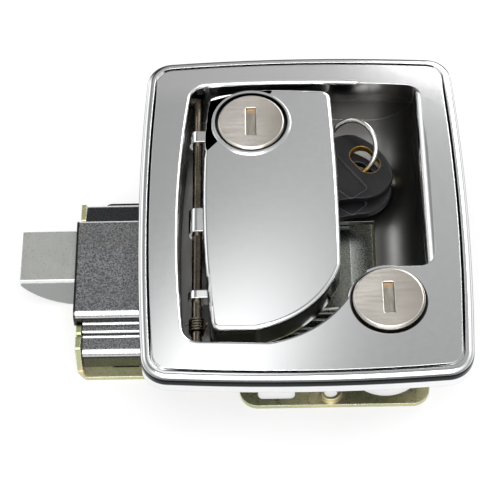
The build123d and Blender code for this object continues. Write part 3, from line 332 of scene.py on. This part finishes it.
def chrome(name, lock_place, is_bezel):
    """Bright plating over a casting, with painted shade in the well round the lock's cap."""
    material, nodes = new_material(name)
    wave = nodes.noise(20.0, 1.0)
    haze = nodes.noise(420.0, 4.0)
    scratch = nodes.noise(900.0, 2.0, 0.6, (1.0, 0.05, 1.0))
    normal = nodes.bump(wave, 0.03, 1.0 * MM, nodes.rounded(0.35 * MM))
    normal = nodes.bump(scratch, 0.012, 0.05 * MM, normal)
    tone = nodes.blend(nodes.rise(haze), (0.83, 0.835, 0.84), (0.85, 0.855, 0.86))
    roughness = nodes.spread(haze, 0.09, 0.10)
    # Painted shade: the well round the lock's cap is near black.
    well_shade = nodes.fall(nodes.from_axis(lock_place), *LOCK_WELL_SHADE, 0.95)
    tone = nodes.blend(well_shade, tone, NEAR_BLACK)
    if is_bezel:
        tone, roughness = shade_bezel(nodes, tone, roughness)
    finish_surface(nodes, tone, 1.0, roughness, normal)
    return material


def satin_nickel():
    """Lock caps: warm satin plate with fine brushing across, and painted shade towards the right side.
    """
    material, nodes = new_material("satin_nickel")
    fine = nodes.noise(2600.0, 2.0, 0.5, (0.10, 1.0, 1.0))
    streak = nodes.noise(900.0, 4.0, 0.7, (0.10, 1.0, 1.0))
    patch = nodes.noise(70.0, 3.0)
    normal = nodes.bump(fine, 0.09, 0.03 * MM, nodes.rounded(0.45 * MM))
    tone = nodes.blend(nodes.rise(patch), (0.74, 0.695, 0.635), (0.88, 0.83, 0.765))
    tone = nodes.blend(nodes.rise(streak, 0.40, 0.66, 0.40), tone, (0.50, 0.46, 0.40))
    # Painted shade: the right side of each cap turns darker.
    right_side_shade = nodes.rise(nodes.within_box("X"), 0.35, 0.95, 0.85)
    tone = nodes.blend(right_side_shade, tone, (0.42, 0.385, 0.335))
    # Paler edges: wear and a painted highlight.
    tone = nodes.worn_and_lit_edges(tone, (0.93, 0.90, 0.86))
    finish_surface(nodes, tone, 1.0, nodes.spread(patch, 0.20, 0.26), normal)
    return material


def shutter():
    """Key slots' flaps: grained dull metal with a tan upper end."""
    material, nodes = new_material("shutter")
    grain = nodes.noise(1300.0, 3.0, 0.6, (1.0, 0.2, 1.0))
    normal = nodes.bump(grain, 0.2, 0.05 * MM, nodes.rounded(0.15 * MM))
    tone = nodes.blend(nodes.rise(grain), (0.28, 0.26, 0.22), (0.40, 0.37, 0.32))
    upper_end = nodes.rise(nodes.within_box("Y"), 0.82, 0.86, 0.7)
    tone = nodes.blend(upper_end, tone, (0.54, 0.37, 0.21))
    finish_surface(nodes, tone, 1.0, nodes.spread(grain, 0.28, 0.42), normal)
    return material


def zinc_sheet():
    """Pressed housing: grey zinc with a salt-and-pepper grain, painted highlights on the bends, and
    painted shade on the walls, under the face plate, on the far shoulder and at the box's end.
    """
    material, nodes = new_material("zinc_sheet")
    grain = nodes.noise(1900.0, 3.0, 0.75)
    cloud = nodes.noise(60.0, 4.0)
    warm = nodes.noise(35.0, 2.0)
    across = nodes.along("X")
    # Masks for painted shade under the face plate and on the far shoulder.
    under_face_shade = nodes.rise(across, *UNDER_FACE_SHADE)
    far_shoulder_shade = nodes.rise(nodes.along("Y"), *FAR_SHOULDER_SHADE, 0.90)
    tone = nodes.blend(nodes.rise(grain, 0.38, 0.62), (0.09, 0.095, 0.10), (0.54, 0.56, 0.58))
    tone = nodes.blend(nodes.rise(cloud, top=0.45), tone, (0.20, 0.21, 0.22))
    tone = nodes.blend(nodes.product(under_face_shade, 0.85), tone, (0.13, 0.14, 0.12))
    tone = nodes.blend(nodes.rise(warm, 0.5, 0.7, 0.25), tone, (0.36, 0.32, 0.26))
    tone = nodes.blend(far_shoulder_shade, tone, (0.035, 0.037, 0.040))
    level = nodes.calculate("ABSOLUTE", nodes.facing("Z"))
    # Painted highlight on the bends, left off where they run under the face plate.
    bend_highlight = nodes.product(nodes.window(level, *WALL_LEVEL, *FLAT_LEVEL),
                              nodes.spread(under_face_shade, 1.0, 0.05, 0.0, 1.0))
    tone = nodes.blend(nodes.product(bend_highlight, 0.95), tone, (0.94, 0.94, 0.94))
    # Painted shade: the upright walls and the box's left end turn near black.
    wall_shade = nodes.fall(level, *WALL_LEVEL)
    box_end_shade = nodes.product(nodes.fall(across, *BOX_END), nodes.rise(nodes.along("Z"), *BOX_FOOT))
    tone = nodes.blend(nodes.product(nodes.largest(wall_shade, box_end_shade), 0.92), tone, NEAR_BLACK)
    normal = nodes.bump(grain, 0.12, 0.05 * MM, nodes.rounded(0.4 * MM))
    finish_surface(nodes, tone, 1.0, nodes.spread(grain, 0.20, 0.34), normal)
    return material


def yellow_zinc():
    """Passivated plate: straw yellow drifting to green and rose."""
    material, nodes = new_material("yellow_zinc")
    straw = nodes.noise(42.0, 3.0)
    rose = nodes.noise(75.0, 3.0, 0.6, (1.0, 1.3, 0.7))
    grain = nodes.noise(900.0, 3.0, 0.65)
    tone = nodes.blend(nodes.rise(straw, 0.38, 0.62), (0.50, 0.53, 0.30), (0.66, 0.60, 0.34))
    tone = nodes.blend(nodes.rise(rose, 0.5, 0.75, 0.55), tone, (0.62, 0.44, 0.36))
    # Paler edges: wear and a painted highlight.
    tone = nodes.worn_and_lit_edges(tone, (0.76, 0.74, 0.60))
    normal = nodes.bump(grain, 0.16, 0.08 * MM, nodes.rounded(0.35 * MM))
    finish_surface(nodes, tone, 0.9, nodes.spread(grain, 0.24, 0.38), normal)
    return material


def plain_metal(name, low, high, rough_low, rough_high):
    """Metal whose colour and roughness wander between two values, with a fine grain."""
    material, nodes = new_material(name)
    grain = nodes.noise(600.0, 4.0, 0.6)
    tone = nodes.blend(nodes.rise(nodes.noise(90.0, 3.0)), low, high)
    normal = nodes.bump(grain, 0.15, 0.08 * MM, nodes.rounded(0.3 * MM))
    finish_surface(nodes, tone, 1.0, nodes.spread(grain, rough_low, rough_high), normal)
    return material


def bolt_steel():
    """Slam bolt: pale satin casting, greyer on its ramp and sides from painted shade, with paler edges
    from wear and a painted highlight.
    """
    material, nodes = new_material("bolt_steel")
    grain = nodes.noise(1500.0, 4.0, 0.6)
    tone = nodes.blend(nodes.rise(nodes.noise(90.0, 3.0)), (0.66, 0.68, 0.65), (0.76, 0.77, 0.73))
    # Painted shade: the ramp and sides turn greyer.
    slope_shade = nodes.fall(nodes.facing("Z"), 0.55, 0.95, 0.80)
    tone = nodes.blend(slope_shade, tone, (0.22, 0.235, 0.235))
    # Paler edges: wear and a painted highlight.
    tone = nodes.worn_and_lit_edges(tone, (0.90, 0.91, 0.90))
    normal = nodes.bump(grain, 0.15, 0.08 * MM, nodes.rounded(0.3 * MM))
    finish_surface(nodes, tone, 1.0, nodes.spread(grain, 0.26, 0.36), normal)
    return material


def black_plastic():
    """Moulded key heads: black with paler edges from rub wear and a painted highlight, and brass
    inside the ring hole.
    """
    material, nodes = new_material("black_plastic")
    eggshell = nodes.noise(1600.0, 3.0)
    cloud = nodes.noise(140.0, 4.0)
    tone = nodes.blend(nodes.rise(cloud), (0.004, 0.004, 0.005), (0.010, 0.010, 0.011))
    # Paler edges: rub wear and a painted highlight.
    tone = nodes.worn_and_lit_edges(tone, (0.11, 0.11, 0.11), 0.45 * MM)
    hole = nodes.in_slot(KEY_HOLE, KEY_HOLE_TURN, KEY_HOLE_STRAIGHT, KEY_HOLE_R + KEY_HOLE_LINING)
    lining = nodes.product(hole, nodes.rise(nodes.along("Z"), *KEY_HOLE_Z))
    tone = nodes.blend(lining, tone, (0.62, 0.38, 0.07))
    normal = nodes.bump(eggshell, 0.35, 0.08 * MM, nodes.rounded(0.4 * MM))
    finish_surface(nodes, tone, lining, nodes.spread(cloud, 0.30, 0.46), normal, specular=0.22)
    return material


def foam():
    """Door seal: dull black foam with small cells."""
    material, nodes = new_material("foam")
    pattern = nodes.add("ShaderNodeTexVoronoi", {"Vector": nodes.place(), "Scale": 1400.0})
    cells = pattern.outputs["Distance"]
    tone = nodes.blend(nodes.rise(cells, 0.0, 0.7), NEAR_BLACK, (0.05, 0.05, 0.05))
    finish_surface(nodes, tone, 0.0, 0.95, nodes.bump(cells, 0.6, 0.3 * MM))
    return material


def make_finishes():
    return {
        "chrome_paddle": chrome("chrome_paddle", PADDLE_LOCK, False),
        "chrome_bezel": chrome("chrome_bezel", DEADBOLT_LOCK, True),
        "satin_nickel": satin_nickel(),
        "shutter": shutter(),
        "zinc_sheet": zinc_sheet(),
        "yellow_zinc": yellow_zinc(),
        "bolt_steel": bolt_steel(),
        "zinc_part": plain_metal("zinc_part", (0.50, 0.50, 0.47), (0.64, 0.64, 0.60), 0.28, 0.42),
        # Lock bodies near black: painted shade deep inside the part.
        "shaded_lock_shell": plain_metal("shaded_lock_shell", NEAR_BLACK, (0.03, 0.03, 0.03), 0.30, 0.45),
        "rivet": plain_metal("rivet", (0.60, 0.60, 0.58), (0.74, 0.74, 0.73), 0.20, 0.32),
        # Springs and hinge pin dark brown: painted shade in the gaps where they sit.
        "shaded_spring_wire": plain_metal("shaded_spring_wire", (0.06, 0.05, 0.04), (0.14, 0.12, 0.09), 0.20, 0.32),
        "black_plastic": black_plastic(),
        "key_brass": plain_metal("key_brass", (0.62, 0.53, 0.33), (0.74, 0.66, 0.44), 0.22, 0.34),
        "ring_nickel": plain_metal("ring_nickel", (0.62, 0.62, 0.60), (0.74, 0.74, 0.72), 0.12, 0.22),
        "foam": foam(),
    }


def dress_nodes():
    """Gives every CAD node its finish; shapes stay as they are."""
    finishes = make_finishes()
    for finish, names in FINISHES.items():
        for name in names:
            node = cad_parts[name]
            node.data.materials.clear()
            node.data.materials.append(finishes[finish])


def add_floor():
    """Pale ground that keeps the shadow but reads nearly white to the camera and in reflections."""
    half = FLOOR_SIZE / 2
    corners = [(-half, -half, 0), (half, -half, 0), (half, half, 0), (-half, half, 0)]
    mesh = bpy.data.meshes.new("floor")
    mesh.from_pydata(corners, [], [(0, 1, 2, 3)])
    floor = bpy.data.objects.new("floor", mesh)
    floor.location.z = FLOOR_Z
    bpy.context.collection.objects.link(floor)
    material, nodes = new_material("floor")
    tone = nodes.blend(nodes.rise(nodes.noise(30.0, 3.0)), (0.93, 0.93, 0.93), (0.95, 0.95, 0.95))
    lit = nodes.add("ShaderNodeBsdfDiffuse", {"Color": tone})
    white = nodes.add("ShaderNodeEmission", {"Color": WHITE, "Strength": 1.0})
    path = nodes.add("ShaderNodeLightPath").outputs
    seen = nodes.add("ShaderNodeMath", {0: path["Is Camera Ray"], 1: path["Is Glossy Ray"]},
                     operation="ADD", use_clamp=True)
    share = nodes.product(seen.outputs[0], FLOOR_WHITE)
    mix = nodes.add("ShaderNodeMixShader", {0: share, 1: lit.outputs[0], 2: white.outputs[0]})
    nodes.add("ShaderNodeOutputMaterial", {"Surface": mix.outputs[0]})
    mesh.materials.append(material)


def add_softbox(name, place, size, power):
    """Area lamp at a place, facing the part; size is its width and height."""
    lamp = bpy.data.lights.new(name, "AREA")
    lamp.shape = "RECTANGLE"
    lamp.size, lamp.size_y = size
    lamp.energy = power
    lamp_object = bpy.data.objects.new(name, lamp)
    lamp_object.location = place
    lamp_object.rotation_mode = "QUATERNION"
    lamp_object.rotation_quaternion = (-Vector(place)).to_track_quat("-Z", "Y")
    bpy.context.collection.objects.link(lamp_object)


def patch_of_light(nodes, direction, centre, widths, turn):
    """A soft oval patch on the surround: 1 at its centre, falling off over its widths."""
    turned = {"Vector": direction, "Location": centre, "Rotation": (0, 0, turn), "Scale": widths}
    across = nodes.add("ShaderNodeMapping", turned, vector_type="TEXTURE").outputs[0]
    square = nodes.measure_vector("DOT_PRODUCT", across, across)
    return nodes.calculate("EXPONENT", nodes.product(square, -1.0))


def add_world():
    """Dim studio surround with the soft patches of light that the chrome picks up."""
    world = bpy.data.worlds.new("studio")
    world.use_nodes = True
    world.node_tree.nodes.clear()
    nodes = Nodes(world.node_tree)
    direction = nodes.add("ShaderNodeTexCoord").outputs["Generated"]
    light = SKY_BASE
    for strength, centre, widths, turn in SKY_PATCHES:
        patch = patch_of_light(nodes, direction, centre, widths, turn)
        light = nodes.calculate("ADD", nodes.product(patch, strength), light)
    studio = nodes.add("ShaderNodeBackground", {"Color": WHITE, "Strength": light})
    white = nodes.add("ShaderNodeBackground", {"Color": WHITE, "Strength": 1.0})
    seen = nodes.add("ShaderNodeLightPath").outputs["Is Camera Ray"]
    mix = nodes.add("ShaderNodeMixShader", {0: seen, 1: studio.outputs[0], 2: white.outputs[0]})
    nodes.add("ShaderNodeOutputWorld", {"Surface": mix.outputs[0]})
    bpy.context.scene.world = world


def add_camera():
    """Camera that looks at AIM from DISTANCE away, at the photograph's angle."""
    tilt, yaw, roll = (math.radians(angle) for angle in (ELEVATION, YAW, ROLL))
    across = Vector((math.cos(yaw), -math.sin(yaw), 0))
    away = Vector((math.sin(yaw), math.cos(yaw), 0))
    up_axis = Vector((0, 0, 1))
    rise = math.sin(tilt) * away + math.cos(tilt) * up_axis
    forward = math.cos(tilt) * away - math.sin(tilt) * up_axis
    right = math.cos(roll) * across - math.sin(roll) * rise
    up = math.sin(roll) * across + math.cos(roll) * rise
    camera = bpy.data.cameras.new("camera")
    camera.lens = LENS_MM
    camera.sensor_width = SENSOR_MM
    camera.clip_start = CLIP_START
    holder = bpy.data.objects.new("camera", camera)
    turn = Matrix((right, up, -forward)).transposed().to_4x4()
    holder.matrix_world = Matrix.Translation(AIM - DISTANCE * forward) @ turn
    bpy.context.collection.objects.link(holder)
    bpy.context.scene.camera = holder


dress_nodes()
add_floor()
add_world()
for lamp in LAMPS:
    add_softbox(*lamp)
add_camera()
bpy.context.scene.view_settings.view_transform = "Standard"
